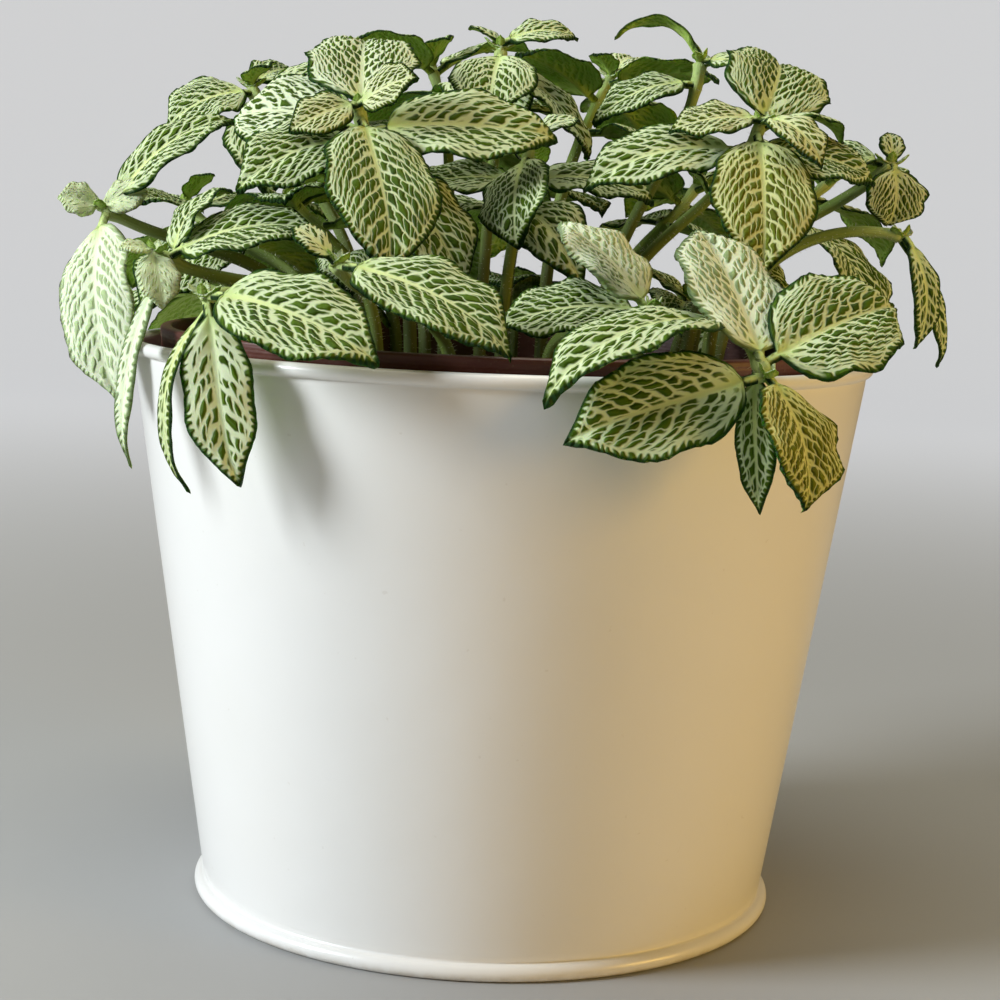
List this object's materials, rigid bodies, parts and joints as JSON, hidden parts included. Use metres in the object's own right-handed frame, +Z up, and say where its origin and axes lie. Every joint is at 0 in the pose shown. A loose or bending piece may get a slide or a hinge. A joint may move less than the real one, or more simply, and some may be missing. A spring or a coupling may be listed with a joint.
{
  "type": "potted nerve plant",
  "caption": "Small bushy nerve plant with pale-veined leaves, growing in soil in a nursery pot that stands inside a white tapered metal planter.",
  "frame": {"origin": "centre of the planter's flat base, on the surface it stands on", "axes": "+Z up along the planter's axis; the side first seen faces -Y and +X is to its right"},
  "size_m": [0.1629, 0.1707, 0.1642],
  "materials": {
    "white_enamel": "satin white enamel",
    "brown_plastic": "dark reddish brown moulded plastic",
    "potting_soil": "dark crumbly peat",
    "leaf": "green leaf with a net of cream veins, soft sheen"
  },
  "bodies": {
    "root": {"planter": "white_enamel", "nursery_pot": "brown_plastic", "soil": "potting_soil", "leafy_stem_back_crown_left": "leaf", "leafy_stem_back_crown_right": "leaf", "leafy_stem_back_left": "leaf", "leafy_stem_back_low_left": "leaf", "leafy_stem_back_low_right": "leaf", "leafy_stem_back_middle": "leaf", "leafy_stem_back_middle_left": "leaf", "leafy_stem_back_middle_right": "leaf", "leafy_stem_centre": "leaf", "leafy_stem_crown_left": "leaf", "leafy_stem_crown_right": "leaf", "leafy_stem_edge_left": "leaf", "leafy_stem_front_left": "leaf", "leafy_stem_front_middle": "leaf", "leafy_stem_hanging_back": "leaf", "leafy_stem_hanging_back_left": "leaf", "leafy_stem_hanging_back_right": "leaf", "leafy_stem_hanging_left": "leaf", "leafy_stem_hanging_right": "leaf", "leafy_stem_inner_left": "leaf", "leafy_stem_middle_right": "leaf", "leafy_stem_right_high": "leaf", "leafy_stem_right_low": "leaf", "leafy_stem_rim_left": "leaf", "leafy_stem_rim_right": "leaf", "leafy_stem_top_middle": "leaf", "leafy_stem_top_right": "leaf"}
  },
  "joints": []
}
